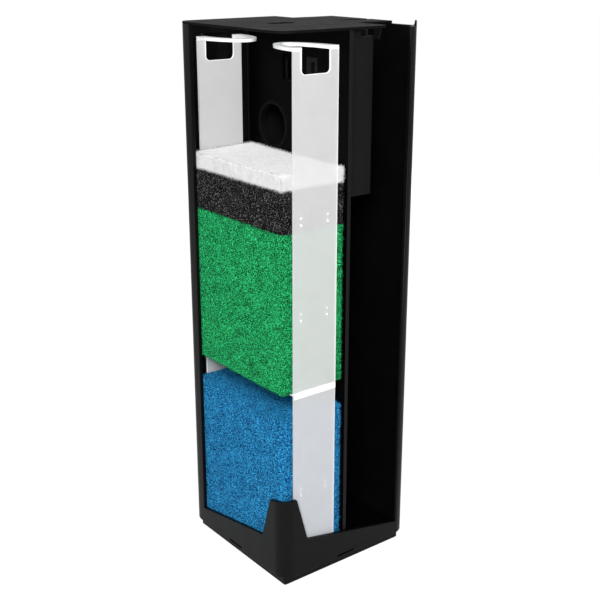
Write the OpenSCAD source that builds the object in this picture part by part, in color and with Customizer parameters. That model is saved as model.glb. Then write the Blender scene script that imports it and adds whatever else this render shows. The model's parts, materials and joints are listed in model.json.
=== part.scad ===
// Internal corner filter for an aquarium, shown with its front and left walls cut away.
// Every module is drawn from the case's near bottom corner: X to the right, Y to the back,
// Z up, in millimetres. placed() then moves it so that the origin is under the case's middle.

/* [Case] */
// Outer width of the case, left to right
case_w = 131; // [129:1:150]
// Outer depth of the case, front to back
case_d = 132; // [130:1:150]
// Height from the floor to the top of the lid
case_h = 430; // [428:1:470]
// Radius of the four upright corners
corner_r = 12; // [10:0.5:14]
// Thickness of the case walls
wall_t = 3.2; // [2.6:0.1:3.4]
// Height of the recessed foot under the case
foot_h = 8; // [6.5:0.5:10]
// How far the foot is set in from the case's outside
foot_inset = 4.7; // [4:0.1:6]
// Radius of the foot's upright corners
foot_corner_r = 2.5; // [2:0.5:4]
// Wall thickness of the foot and of the ribs across it
foot_t = 3; // [2.4:0.1:3.6]
// Thickness of the floor plate inside the case walls
floor_t = 4; // [3.4:0.1:5]

/* [Cut-away walls] */
// Width of wall left standing at the back end of the left side
left_strip = 17.2; // [13:0.2:24]
// Width of wall left standing at the right end of the front
right_strip = 11.6; // [11:0.1:16]
// Height of the skirt's sloping rim at the near corner
rim_near_z = 41.7; // [36:0.5:48]
// Height of the rim where it meets the right strip
rim_right_z = 19; // [16:0.5:26]
// Height of the rim where it meets the left strip
rim_left_z = 21.8; // [16:0.5:26]
// Height of the top of the tab at the near corner
tab_z = 75.4; // [60:0.2:90]
// Fall of the tab's top along the left side
tab_drop = 2.1; // [1:0.1:3]
// Reach of the tab's top along the front
tab_top_front = 13.7; // [13:0.1:18]
// Reach of the tab's foot along the front
tab_foot_front = 24.2; // [20:0.2:32]
// Reach of the tab's top along the left side
tab_top_side = 17.5; // [14:0.5:20]
// Reach of the tab's foot along the left side
tab_foot_side = 28.6; // [22:0.2:34]
// Length of the slit near the skirt's bottom edge, on the front and on the left
slit_len = 17; // [12:0.5:22]
// Height of the slits
slit_h = 1.6; // [1.2:0.1:2]
// Height of the locating lug above the wall at the near right corner
lug_h = 3.8; // [3:0.1:5]
// Thickness of the lug
lug_t = 1.2; // [0.8:0.1:2]

/* [Divider] */
// Clear width of the media chamber, from the left wall to the divider
chamber_w = 59.7; // [59.2:0.1:61]
// Thickness of the divider
divider_t = 3.4; // [3:0.1:4]
// Inner radius of the port's rubber ring
port_r = 16; // [12:0.5:18]
// Thickness of the port's rubber ring
grommet_t = 3; // [2:0.2:4]
// Distance of the port's centre in front of the case's back
port_back = 36; // [34:0.5:38]
// Height of the port's centre above the pump box's bottom
port_up = 47; // [45:1:55]
// Width of the overflow window
overflow_w = 14; // [10:0.5:16]
// Height of the overflow window
overflow_h = 19; // [14:0.5:20]
// Distance of the overflow window's middle in front of the port's centre
overflow_ahead = 20.6; // [18:0.2:24]
// Width of the hanger window
hanger_w = 13; // [12:0.5:16]
// Height of the hanger window
hanger_h = 13; // [12:0.5:16]
// Distance of the hanger window's middle in front of the port's centre
hanger_ahead = 49.5; // [48:0.5:52]
// Depth of both windows' tops below the pump box's top
window_drop = 19; // [16:0.5:24]
// Width of each water slot at the divider's bottom
water_slot_w = 8; // [6:0.5:10]
// Height of the water slots
water_slot_h = 14; // [10:0.5:18]
// Spacing of the water slots
water_slot_pitch = 20; // [16:0.5:22]

/* [Lid] */
// Thickness of the lid
lid_t = 1.9; // [1.7:0.1:2.4]
// Depth of the notch in the lid's front right corner
notch_front = 34; // [28:0.5:40]
// Width of the notch in the lid's front right corner
notch_front_w = 34.6; // [28:0.2:38]
// Radius of the tip between that notch and the lid's front edge
tip_r = 5; // [3:0.5:8]
// Depth of the notch in the lid's back right corner
notch_back = 25.6; // [20:0.5:30]
// Width of the notch in the lid's back right corner
notch_back_w = 38.3; // [30:0.5:44]
// Radius of each circle of the figure-eight finger hole
finger_r = 6; // [5:0.25:8]
// Distance between the two circles' centres
finger_gap = 10.4; // [8:0.2:11]
// Width of the cable slit in the lid's right edge
cable_w = 4.6; // [4.2:0.1:8]
// Length of the cable slit
cable_len = 30.6; // [20:0.5:32]
// Depth of the locating tabs under the lid
lid_tab_h = 8; // [5:0.5:10]

/* [Media carrier] */
// Width of the two straps
strap_w = 40.6; // [38:0.2:44]
// Thickness of the straps
strap_t = 1.2; // [1:0.1:1.4]
// Gap between the straps' tops and the lid
strap_gap = 9.9; // [8.5:0.1:14]
// Width of the finger hole
grip_w = 25.2; // [22:0.2:26]
// Height of the finger hole
grip_h = 16; // [12:0.1:20]
// Reach of the handle loop over the chamber
loop_reach = 42; // [30:1:48]
// Thickness of the handle loop
loop_t = 2.4; // [2:0.1:3]
// Width of the handle loop at its tip
loop_tip = 5.5; // [4:0.5:8]
// Thickness of the slotted shelf and floor
shelf_t = 1.6; // [1.4:0.1:2.4]
// Height of the beads where the straps carry the shelf and the floor
bead_h = 4.4; // [3.6:0.1:5]
// Clear height of the feet under the carrier's floor
carrier_foot = 4; // [3:0.5:6]
// Reach of the barbs into the foams
barb_reach = 7; // [5:0.5:9]
// Height of a barb at its root
barb_h = 6.4; // [5:0.2:8]
// Distance between the two barbs of a pair
barb_gap = 24.6; // [18:0.2:30]
// Height of the lowest pair of barbs
barb_z = 78; // [50:1:100]
// Spacing of the barb levels, of which the one beside the shelf is left out
barb_pitch = 72.6; // [72:0.2:74]

/* [Media] */
// Height of the blue foam
blue_h = 124.5; // [100:0.5:130]
// Gap between the blue foam and the shelf above it
media_gap = 19.6; // [12:0.2:22]
// Gap between the top of the white pad and the port
pad_gap = 2.7; // [1:0.1:10]
// Height of the black foam
black_h = 31.2; // [26:0.2:34]
// Thickness of the white pad
pad_h = 11.9; // [8:0.1:12.5]
// Radius of the foams' upright corners
foam_r = 2.5; // [2.5:0.25:4]
// Radius of the blue foam's near corner, which stands behind the tab
blue_near_r = 6; // [5.5:0.25:8]

/* [Pump box] */
// Distance of the box's front panel behind the case's front
box_front = 20; // [16:0.5:24]
// Outer width of the box
box_w = 33.7; // [33:0.1:40]
// Gap between the box and the case's back wall
box_back_gap = 10.8; // [8:0.2:12]
// Gap between the box's top and the lid
box_top_gap = 3.1; // [1:0.1:5]
// Height of the box
box_h = 122; // [118:0.5:126]
// Wall thickness of the box
box_t = 2; // [1.6:0.1:2.2]
// Width of the notch at the panel's top right corner
panel_notch_w = 12.4; // [8:0.2:16]
// Depth of that notch
panel_notch_h = 3.8; // [2:0.2:6]

/* [Pump] */
// Width of the motor block
pump_w = 26; // [25.8:0.1:27]
// Height of the motor block
pump_h = 38; // [36:0.5:42]
// Length of the motor block
pump_l = 36; // [34:0.5:40]
// Height of the rubber feet
pump_foot_h = 4; // [3:0.5:6]
// Outer radius of the impeller chamber
cover_r = 12.6; // [12.4:0.1:12.8]
// Length of the impeller chamber
cover_l = 16; // [15:0.5:18]
// Radius of the magnet
magnet_r = 6.4; // [5:0.1:6.6]
// Radius of the blades
blade_r = 9; // [7:0.25:9.5]
// Number of blades
blade_n = 6; // [4:1:8]
// Radius of the shaft
shaft_r = 1.2; // [1:0.1:1.5]
// Outer radius of the hose tail
tail_r = 6; // [5.6:0.1:6.2]
// Length of the hose tail
tail_l = 20; // [14:0.5:26]

/* [Hidden] */
$fn = 64;
over = 1;                                  // how far a cut or a joint runs past a face
fit = 0.1;                                 // gap round a part that is pushed or glued in
run_fit = 0.05;                            // gap round a part that turns
slide_fit = 0.3;                           // gap between the carrier and the case
end_play = 0.3;                            // gap at each end of the impeller
case_black = [0.06, 0.06, 0.065];
pump_grey = [0.12, 0.12, 0.13];
rubber_black = [0.03, 0.03, 0.03];
frosted = [0.85, 0.86, 0.87];

wall_top = case_h - lid_t;                 // where the lid rests
floor_z = foot_h + floor_t;                // top of the floor plate
back_in = case_d - wall_t;                 // inner face of the back wall
right_in = case_w - wall_t;                // inner face of the right wall
slit_low = 0.3;                            // slits lie this far below the floor plate's middle
slit_z = foot_h + (floor_t - slit_h) / 2 - slit_low;
slit_front_x = case_w / 2 - slit_h;        // middle of the front slit
slit_side_y = case_d / 2 + slit_h / 2;     // middle of the left slit
tongue_back = 0.6;                         // how far the snap tongues stay behind the slits

divider_x = wall_t + chamber_w;            // left face of the divider
bay_x = divider_x + divider_t;             // right face of the divider
rail_w = 2;                                // width of the rails that hold the divider
rail_d = 3;                                // depth of the rails and of the rear guide ribs
rail_h = 2;                                // height of the rails on the floor plate
water_slots = 5;
water_slot_up = 3.5;                       // bottom of the water slots above the floor plate

box_x1 = bay_x + box_w;                    // right side of the pump box
box_y1 = back_in - box_back_gap;           // back of the pump box
box_top = wall_top - box_top_gap;
box_z = box_top - box_h;                   // underside of the pump box
box_floor = box_z + box_t;
port_y = case_d - port_back;
port_z = box_z + port_up;
overflow_y = port_y - overflow_ahead;      // middle of the overflow window
overflow_z = box_top - window_drop - overflow_h;
hanger_y = port_y - hanger_ahead;          // middle of the hanger window
hanger_z = box_top - window_drop - hanger_h;
hanger_bar = 3.6;                          // height of the hanger's bar
hanger_leg = 5;                            // width of its rear leg
hanger_thin_leg = 3;                       // width of its front leg

chamber_x = wall_t + chamber_w / 2;        // middle of the media chamber
finger_right = 15;                         // finger hole, right of the chamber's middle
finger_x = chamber_x + finger_right;
finger_ahead = 2.3;                        // finger hole, in front of the case's middle
finger_y = case_d / 2 - finger_ahead;
cable_ahead = 5.2;                         // cable slit, in front of the case's middle
cable_y = case_d / 2 - cable_ahead;
tip_x = case_w - notch_front_w;            // right end of the lid's front tip
lid_tab_t = 1.7;                           // thickness of the tabs under the lid
lid_tab_w = 12;                            // width of the two tabs at the walls
lid_tab_short = 2;                         // these two are this much shorter than the catch
lid_tab_back = 8;                          // tab at the right wall, behind the case's middle
lid_tab_y = case_d / 2 + lid_tab_back;
catch_w = 7;                               // width of the slanting catch
catch_in = 1.2;                            // catch's root, left of the tip's end
catch_slant = 2.3;                         // how far the catch leans over its height

strap_top = wall_top - strap_gap;
bead_t = 0.4;                              // how far the shelf beads stand proud
bead_lip = 0.3;                            // bead above the tabs of shelf and floor
strap_front_y = wall_t + slide_fit + bead_t;  // outer face of the front strap
strap_back_y = back_in - rail_d - slide_fit - bead_t - strap_t;  // inner face of the rear strap
strap_off = 0.4;                           // straps, right of the chamber's middle
strap_x = chamber_x + strap_off;
carrier_x0 = strap_x - strap_w / 2;        // left edge of the shelf and the floor
carrier_x1 = strap_x + strap_w / 2;        // right edge of the shelf and the floor
carrier_y0 = strap_front_y + strap_t;      // front edge of the shelf and the floor
carrier_floor_z = floor_z + carrier_foot;  // underside of the carrier's floor
carrier_pad = 3;                           // side of the square feet under it
tab_w = 10;                                // width of the tabs that lock shelf and straps
tab_gap = 16;                              // distance between the two tabs' middles
grip_r = 3.5;                              // radius of the finger hole's lower corners
shelf_slots = 9;
shelf_slot_w = 6;
shelf_rim = 4;                             // rim and half of the bar between the slots

blue_z = carrier_floor_z + shelf_t;
shelf_z = blue_z + blue_h + media_gap;     // underside of the shelf
green_z = shelf_z + shelf_t;
pad_z = port_z - port_r - pad_gap - pad_h;
black_z = pad_z - black_h;
green_h = black_z - green_z;               // the green foam fills what is left
foam_x0 = wall_t + 0.5;
foam_x1 = divider_x - 0.9;
foam_y0 = carrier_y0 + slide_fit;
foam_y1 = strap_back_y - slide_fit;
barb_levels = [barb_z, barb_z + 2 * barb_pitch, barb_z + 3 * barb_pitch];
barb_t = 1.2;                              // thickness of a barb
barb_wall = 1.2;                           // thickness of its two arms, along the strap
pocket_fit = 0.4;                          // gap round a barb in its foam

pump_x = bay_x + box_w / 2;                // the pump's middle
pump_front_gap = 6;                        // between the box's front wall and the pump
pump_y0 = box_front + box_t + pump_front_gap;
pump_y1 = pump_y0 + pump_l;                // where block and chamber meet
pump_z0 = box_floor + pump_foot_h;         // underside of the motor block
pump_r = 5;                                // radius of the motor block's long edges
axis_z = pump_z0 + pump_h / 2;             // height of the impeller's axis
cover_y1 = pump_y1 + cover_l;
chamber_wall = 1.8;
chamber_r = cover_r - chamber_wall;
end_wall = 2;                              // thickness of the chamber's end wall
well_gap = 0.8;                            // water gap round the magnet
well_r = magnet_r + well_gap;              // radius of the rotor well
bush_r = 3;
bush_l = 3;
bush_wall = 1.2;                           // wall of the boss round the front bush
bush_fit = 0.02;                           // gap between the bushes and the shaft
back_wall = 4;                             // motor block behind the rear bush
well_y = pump_y0 + back_wall + bush_l;     // blind end of the rotor well
bush_proud = 1.2;                          // how far the rear bush stands into the well
magnet_y = well_y + bush_proud + end_play;
magnet_end = 3;                            // from the magnet's end to the chamber
magnet_l = pump_y1 - magnet_y - magnet_end;
disc_y = pump_y1 + 2;                      // back face of the impeller's disc
disc_t = 1.2;
blade_l = 6.2;
blade_t = 1.2;
hub_r = 3.4;
front_bush_y = cover_y1 - end_wall - bush_l;
hub_y1 = front_bush_y - end_play;
seal_r = (cover_r + chamber_r) / 2;        // circle that the O-ring lies on
seal_t = 0.55;                             // the O-ring's own radius
window_r = 2.4;                            // radius of an intake window
window_n = 4;
window_ring = 7;                           // circle that the windows lie on
stud_r = 2.6;                              // stud that the gate turns on
stud_head = 1;                             // thickness and lip of the stud's head
gate_t = 2;
gate_r = 10.2;
lever_w = 3;                               // width of the gate's lever
lever_l = 5;                               // how far the lever stands out of the gate
stud_l = gate_t + 0.4;
stub_wall = 1.2;                           // wall of the outlet stub
stub_lip = 0.2;                            // stub's radius over the hose tail's
stub_r = tail_r + stub_lip;
stub_bore = stub_r - stub_wall;
outlet_dx = cover_r - stub_r - 0.8;        // outlet is set off the axis, at a tangent
outlet_y = pump_y1 + (cover_l - end_wall) / 2 + 0.5;
stub_h = 24;                               // stub's top above the axis
stub_top = axis_z + stub_h;
tail_wall = 2.2;
tail_bore = tail_r - tail_wall;
tail_plug = 8;                             // length of the tail's plug in the stub
tail_rim = 1.5;                            // thickness of the tail's collar
tail_chamfer = 1;
gland_back = 10;                           // gland behind the motor block's front
gland_left = 6;                            // gland left of the pump's middle
gland_y = pump_y0 + gland_back;
gland_x = pump_x - gland_left;
gland_r = 3.2;
gland_lip = 1.4;                           // how far the gland's collar stands out
gland_collar = 2;
gland_l = 14;                              // length of the gland's tapered sleeve
gland_boss_h = 5;
gland_boss_wall = 1.8;
cord_r = 2.2;                              // radius of the cord's bore
cord_l = 12;                               // depth of the cord's bore
foot_r = 4.5;
foot_rim = 0.8;                            // height of the suction feet's rim
foot_cone = 1.6;

module placed() {
    translate([-case_w / 2, -case_d / 2, 0]) children();
}

// Flat outline with round corners, from one corner to the opposite one
module round_rect(x0, y0, x1, y1, r) {
    translate([x0 + r, y0]) square([x1 - x0 - 2 * r, y1 - y0]);
    translate([x0, y0 + r]) square([x1 - x0, y1 - y0 - 2 * r]);
    for (x = [x0 + r, x1 - r], y = [y0 + r, y1 - r])
        translate([x, y]) circle(r);
}

// Upright block over the case's outline, set in all round
module case_block(inset, z0, z1) {
    translate([0, 0, z0]) linear_extrude(z1 - z0)
        round_rect(inset, inset, case_w - inset, case_d - inset, corner_r - inset);
}

// Box between two corners
module block(a, b) {
    translate(a) cube(b - a);
}

// Cylinder along Y, centred on the pump's axis
module pump_rod(r, y0, y1) {
    translate([pump_x, y0, axis_z]) rotate([-90, 0, 0]) cylinder(r = r, h = y1 - y0);
}

// Outline of a cut above the skirt: along is measured from the near corner
module rim_cut(length, end_z, tab_top, tab_foot, tab_fall) {
    foot_z = rim_near_z + (end_z - rim_near_z) * tab_foot / length;
    top = case_h + over;
    polygon([[-over, top], [-over, tab_z], [wall_t, tab_z], [tab_top, tab_z - tab_fall],
             [tab_foot, foot_z], [length, end_z], [length, top]]);
}

module front_cut() {
    translate([0, wall_t, 0]) rotate([90, 0, 0]) linear_extrude(wall_t + over)
        rim_cut(case_w - right_strip, rim_right_z, tab_top_front, tab_foot_front, 0);
}

module side_cut() {
    translate([-over, 0, 0]) rotate([90, 0, 90]) linear_extrude(wall_t + over)
        rim_cut(case_d - left_strip, rim_left_z, tab_top_side, tab_foot_side, tab_drop);
}

// Cut above the tab's top, as far as the corner's round goes
module tab_cut() {
    top = case_h + over;
    translate([-over, 0, 0]) rotate([90, 0, 90]) linear_extrude(corner_r + over)
        polygon([[-over, top], [-over, tab_z], [wall_t, tab_z],
                 [tab_top_side, tab_z - tab_drop], [tab_top_side, top]]);
}

// Thin lug on the near right corner, with a hollow ramp up to it
module corner_lug() {
    lug_len = corner_r / 2;
    difference() {
        intersection() {
            translate([case_w - corner_r, corner_r, wall_top - over]) difference() {
                cylinder(r = corner_r, h = lug_h + over);
                translate([0, 0, -over]) cylinder(r = corner_r - lug_t, h = lug_h + 3 * over);
            }
            block([case_w - lug_len, 0, wall_top - over],
                  [case_w, corner_r - lug_t, wall_top + lug_h]);
        }
        translate([case_w - corner_r, corner_r - lug_t, wall_top + lug_h]) rotate([0, 90, 0])
            cylinder(r = lug_h, h = corner_r + over);
    }
}

module case_shell() color(case_black) placed() {
    difference() {
        case_block(0, foot_h, wall_top);
        case_block(wall_t, foot_h - over, wall_top + over);
        front_cut();
        side_cut();
        tab_cut();
        block([slit_front_x - slit_len / 2, -over, slit_z],
              [slit_front_x + slit_len / 2, wall_t + over, slit_z + slit_h]);
        block([-over, slit_side_y - slit_len / 2, slit_z],
              [wall_t + over, slit_side_y + slit_len / 2, slit_z + slit_h]);
    }
    // rails for the divider and ribs that steady the carrier, on the back wall
    for (x = [divider_x - fit - rail_w, bay_x + fit,
              strap_x - strap_w / 3, strap_x + strap_w / 3])
        block([x, back_in - rail_d, floor_z], [x + rail_w, back_in + over, wall_top - lid_tab_h]);
    corner_lug();
}

// Hollow foot with two ribs that cross under the middle
module foot() {
    difference() {
        linear_extrude(foot_h)
            round_rect(foot_inset, foot_inset, case_w - foot_inset, case_d - foot_inset,
                       foot_corner_r);
        case_block(foot_inset + foot_t, -over, foot_h + over);
    }
    block([(case_w - foot_t) / 2, foot_inset + foot_t / 2, 0],
          [(case_w + foot_t) / 2, case_d - foot_inset - foot_t / 2, foot_h]);
    block([foot_inset + foot_t / 2, (case_d - foot_t) / 2, 0],
          [case_w - foot_inset - foot_t / 2, (case_d + foot_t) / 2, foot_h]);
}

module base_plate() color(case_black) placed() {
    tongue_h = slit_h - 2 * fit;
    tongue = slit_len / 2 - fit;
    union() {
        foot();
        case_block(wall_t + fit, foot_h, floor_z);
        case_block(foot_inset, foot_h - over, floor_z);
        // snap tongues that lock into the skirt's two slits
        block([slit_front_x - tongue, tongue_back, slit_z + fit],
              [slit_front_x + tongue, wall_t + over, slit_z + fit + tongue_h]);
        block([tongue_back, slit_side_y - tongue, slit_z + fit],
              [wall_t + over, slit_side_y + tongue, slit_z + fit + tongue_h]);
        // rails that hold the divider's lower edge
        for (x = [divider_x - fit - rail_w, bay_x + fit])
            block([x, corner_r, floor_z - over],
                  [x + rail_w, back_in - rail_d - 2 * fit, floor_z + rail_h]);
    }
}

// Window in a wall that stands across X
module wall_window(x0, x1, y, w, z, h) {
    block([x0 - over, y - w / 2, z], [x1 + over, y + w / 2, z + h]);
}

module port_hole(x0, x1, r) {
    translate([x0, port_y, port_z]) rotate([0, 90, 0]) cylinder(r = r, h = x1 - x0);
}

module divider_wall() color(case_black) placed() {
    difference() {
        block([divider_x, wall_t + fit, floor_z], [bay_x, back_in - fit, wall_top - slide_fit]);
        port_hole(divider_x - over, bay_x + over, port_r + grommet_t);
        wall_window(divider_x, bay_x, overflow_y, overflow_w, overflow_z, overflow_h);
        wall_window(divider_x, bay_x, hanger_y, hanger_w, hanger_z, hanger_h);
        for (i = [0 : water_slots - 1])
            wall_window(divider_x, bay_x,
                        case_d / 2 + (i - (water_slots - 1) / 2) * water_slot_pitch,
                        water_slot_w, floor_z + water_slot_up, water_slot_h);
    }
}

module port_grommet() color(rubber_black) placed() {
    difference() {
        port_hole(divider_x, bay_x + box_t, port_r + grommet_t - run_fit);
        port_hole(divider_x - over, bay_x + box_t + over, port_r);
    }
}

module lid_outline() {
    difference() {
        round_rect(0, 0, case_w, case_d, corner_r);
        translate([case_w - notch_front_w, -over])
            square([notch_front_w + over, notch_front + over]);
        translate([case_w - notch_back_w, case_d - notch_back])
            square([notch_back_w + over, notch_back + over]);
        for (side = [-1, 1])
            translate([finger_x + side * finger_gap / 2, finger_y]) circle(finger_r);
        translate([case_w - cable_len + cable_w / 2, cable_y]) {
            circle(cable_w / 2);
            translate([0, -cable_w / 2]) square([cable_len, cable_w]);
        }
        translate([tip_x - tip_r, 0]) difference() {
            translate([0, -over]) square([tip_r + over, tip_r + over]);
            translate([0, tip_r]) circle(tip_r);
        }
    }
}

module lid() color(case_black) placed() {
    root_z = wall_top + lid_t / 2;
    tab_z0 = wall_top - lid_tab_h;
    back_tab_y = back_in - slide_fit - lid_tab_t;
    side_tab_x = right_in - slide_fit - lid_tab_t;
    catch_x = tip_x - catch_in;
    union() {
        translate([0, 0, wall_top]) linear_extrude(lid_t) lid_outline();
        // slanting catch under the front right tip
        translate([0, corner_r, 0]) rotate([90, 0, 0]) linear_extrude(catch_w)
            polygon([[catch_x - lid_tab_t, root_z], [catch_x, root_z], [catch_x, wall_top],
                     [catch_x - catch_slant, tab_z0], [catch_x - catch_slant - lid_tab_t, tab_z0],
                     [catch_x - lid_tab_t, wall_top]]);
        // tabs that locate the lid against the back and right walls
        block([chamber_x - lid_tab_w / 2, back_tab_y, tab_z0 + lid_tab_short],
              [chamber_x + lid_tab_w / 2, back_tab_y + lid_tab_t, root_z]);
        block([side_tab_x, lid_tab_y, tab_z0 + lid_tab_short],
              [side_tab_x + lid_tab_t, lid_tab_y + lid_tab_w, root_z]);
    }
}

// Points of half an ellipse, from its right end over its tip to its left end
function half_ellipse(a, b, n) = [for (i = [0 : n]) [a * cos(i * 180 / n), b * sin(i * 180 / n)]];

// The strap stands on X and faces -Y; its loop reaches along +Y
module strap() {
    hole_z = strap_top - loop_t - grip_h;
    strap_z0 = floor_z + carrier_foot / 3;
    half = strap_w / 2;
    difference() {
        union() {
            block([-half, 0, strap_z0], [half, strap_t, strap_top]);
            for (z = [shelf_z, carrier_floor_z])
                block([-half, -bead_t, z + shelf_t + bead_lip - bead_h],
                      [half, strap_t, z + shelf_t + bead_lip]);
        }
        rotate([90, 0, 0]) translate([0, 0, -strap_t - over]) linear_extrude(strap_t + 2 * over) {
            translate([-grip_w / 2 + grip_r, hole_z])
                square([grip_w - 2 * grip_r, grip_r + over]);
            for (side = [-1, 1])
                translate([side * (grip_w / 2 - grip_r), hole_z + grip_r]) circle(grip_r);
            translate([-grip_w / 2, hole_z + grip_r])
                square([grip_w, strap_top - hole_z - grip_r + over]);
        }
        for (z = [shelf_z, carrier_floor_z], side = [-1, 1])
            translate([side * tab_gap / 2 - tab_w / 2 - fit, -bead_t - over, z - fit])
                cube([tab_w + 2 * fit, strap_t + bead_t + 2 * over, shelf_t + 2 * fit]);
    }
    translate([0, 0, strap_top - loop_t]) linear_extrude(loop_t) difference() {
        polygon(half_ellipse(half, loop_reach, 32));
        translate([0, -over]) square([grip_w, 2 * over], center = true);
        polygon(half_ellipse(grip_w / 2, loop_reach - loop_tip, 32));
    }
    for (z = barb_levels, side = [-1, 1])
        translate([side * barb_gap / 2 - barb_t / 2, strap_t, z]) barb();
}

// Barb that points along +Y: two arms that meet at the tip
module barb() {
    root = barb_h / 2;
    inner = root - barb_wall;
    rotate([90, 0, 90]) linear_extrude(barb_t)
        polygon([[-strap_t / 2, root], [0, root], [barb_reach, 0], [0, -root], [-strap_t / 2, -root],
                 [-strap_t / 2, -inner], [0, -inner], [barb_reach * inner / root, 0], [0, inner],
                 [-strap_t / 2, inner]]);
}

module carrier_front_strap() color(frosted) placed() {
    translate([strap_x, strap_front_y, 0]) strap();
}

// The same strap, turned round
module carrier_rear_strap() color(frosted) placed() {
    translate([strap_x, strap_back_y + strap_t, 0]) rotate([0, 0, 180]) strap();
}

// Slotted plate between the straps, with two tabs through each of them
module slotted_plate(z) {
    gap = (strap_back_y - carrier_y0) / (shelf_slots + 1);
    slot_l = (carrier_x1 - carrier_x0) / 2 - 1.5 * shelf_rim;
    difference() {
        union() {
            block([carrier_x0, carrier_y0, z], [carrier_x1, strap_back_y, z + shelf_t]);
            for (side = [-1, 1])
                block([strap_x + side * tab_gap / 2 - tab_w / 2, strap_front_y - bead_t, z],
                      [strap_x + side * tab_gap / 2 + tab_w / 2,
                       strap_back_y + strap_t + bead_t, z + shelf_t]);
        }
        for (i = [1 : shelf_slots], x = [carrier_x0 + shelf_rim, carrier_x1 - shelf_rim - slot_l])
            block([x, carrier_y0 + i * gap - shelf_slot_w / 2, z - over],
                  [x + slot_l, carrier_y0 + i * gap + shelf_slot_w / 2, z + shelf_t + over]);
    }
}

module carrier_shelf() color(frosted) placed() {
    slotted_plate(shelf_z);
}

module carrier_floor() color(frosted) placed() {
    side = carrier_pad;
    slotted_plate(carrier_floor_z);
    for (x = [carrier_x0, carrier_x1 - side], y = [carrier_y0 + side, strap_back_y - 2 * side])
        block([x, y, floor_z], [x + side, y + side, carrier_floor_z + shelf_t]);
}

// Foam that fills the chamber between the straps, with pockets where the barbs bite
module foam(z, h, near_r) {
    inner_front = strap_front_y + strap_t;
    difference() {
        translate([0, 0, z]) linear_extrude(h) difference() {
            round_rect(foam_x0, foam_y0, foam_x1, foam_y1, foam_r);
            translate([foam_x0, foam_y0]) difference() {
                translate([-over, -over]) square(near_r + over);
                translate([near_r, near_r]) circle(near_r);
            }
        }
        for (level = barb_levels, side = [-1, 1]) {
            x = strap_x + side * barb_gap / 2;
            reach = barb_reach + pocket_fit;
            half_w = barb_t / 2 + pocket_fit;
            half_h = barb_h / 2 + pocket_fit;
            block([x - half_w, inner_front - over, level - half_h],
                  [x + half_w, inner_front + reach, level + half_h]);
            block([x - half_w, strap_back_y - reach, level - half_h],
                  [x + half_w, strap_back_y + over, level + half_h]);
        }
    }
}

module white_pad() color([0.93, 0.94, 0.93]) placed() foam(pad_z, pad_h, foam_r);

module black_foam() color([0.1, 0.1, 0.1]) placed() foam(black_z, black_h, foam_r);

module green_foam() color([0.11, 0.55, 0.31]) placed() foam(green_z, green_h, foam_r);

module blue_foam() color([0.11, 0.42, 0.63]) placed() foam(blue_z, blue_h, blue_near_r);

module pump_box() color(case_black) placed() {
    difference() {
        block([bay_x, box_front, box_z], [box_x1, box_y1, box_top]);
        block([bay_x + box_t, box_front + box_t, box_floor],
              [box_x1 - box_t, box_y1 - box_t, box_top + over]);
        port_hole(bay_x - over, bay_x + box_t + over, port_r + grommet_t);
        wall_window(bay_x, bay_x + box_t, overflow_y, overflow_w, overflow_z, overflow_h);
        block([box_x1 - panel_notch_w, box_front - over, box_top - panel_notch_h],
              [box_x1 + over, box_front + 3 * box_t, box_top + over]);
    }
    // hanger that hooks through the divider's window: a bar on two legs
    x0 = divider_x + 2 * fit;
    x1 = bay_x + box_t / 2;
    y0 = hanger_y - hanger_w / 2 + fit;
    y1 = hanger_y + hanger_w / 2 - fit;
    z1 = hanger_z + hanger_h - fit;
    block([x0, y0, z1 - hanger_bar], [x1, y1, z1]);
    block([x0, y0, hanger_z], [x1, y0 + hanger_thin_leg, z1]);
    block([x0, y1 - hanger_leg, hanger_z], [x1, y1, z1]);
}

module pump_body() color(pump_grey) placed() {
    difference() {
        union() {
            translate([0, pump_y1, 0]) rotate([90, 0, 0]) linear_extrude(pump_l)
                round_rect(pump_x - pump_w / 2, pump_z0, pump_x + pump_w / 2, pump_z0 + pump_h,
                           pump_r);
            translate([gland_x, gland_y, pump_z0 + pump_h - gland_collar])
                cylinder(r = gland_r + gland_boss_wall, h = gland_boss_h + gland_collar);
        }
        pump_rod(well_r, well_y, pump_y1 + over);
        pump_rod(bush_r + run_fit, well_y - bush_l, well_y + over);
        // groove for the O-ring
        difference() {
            pump_rod(seal_r + seal_t + run_fit, pump_y1 - 2 * seal_t, pump_y1 + over);
            pump_rod(seal_r - seal_t - run_fit, pump_y1 - 3 * seal_t, pump_y1 + 2 * over);
        }
        translate([gland_x, gland_y, pump_z0 + pump_h])
            cylinder(r = gland_r, h = gland_boss_h + over);
    }
}

// Ring of round windows through a disc across the pump's axis
module intake_windows(y0, y1) {
    for (i = [0 : window_n - 1])
        translate([pump_x, y0, axis_z]) rotate([0, 45 + i * 360 / window_n, 0])
            translate([window_ring, 0, 0]) rotate([-90, 0, 0])
                cylinder(r = window_r, h = y1 - y0, $fn = 32);
}

module pump_cover() color(pump_grey) placed() {
    difference() {
        union() {
            pump_rod(cover_r, pump_y1, cover_y1);
            translate([pump_x + outlet_dx, outlet_y, axis_z])
                cylinder(r = stub_r, h = stub_top - axis_z);
            pump_rod(stud_r, cover_y1 - end_wall, cover_y1 + stud_l + stud_head);
            pump_rod(stud_r + stud_head, cover_y1 + stud_l, cover_y1 + stud_l + stud_head);
        }
        difference() {
            pump_rod(chamber_r, pump_y1 - over, cover_y1 - end_wall);
            pump_rod(bush_r + bush_wall, front_bush_y, cover_y1);
        }
        pump_rod(bush_r + run_fit, front_bush_y - over, front_bush_y + bush_l);
        intake_windows(cover_y1 - end_wall - over, cover_y1 + over);
        translate([pump_x + outlet_dx, outlet_y, axis_z + chamber_r / 2])
            cylinder(r = stub_bore, h = stub_top);
    }
}

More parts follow.
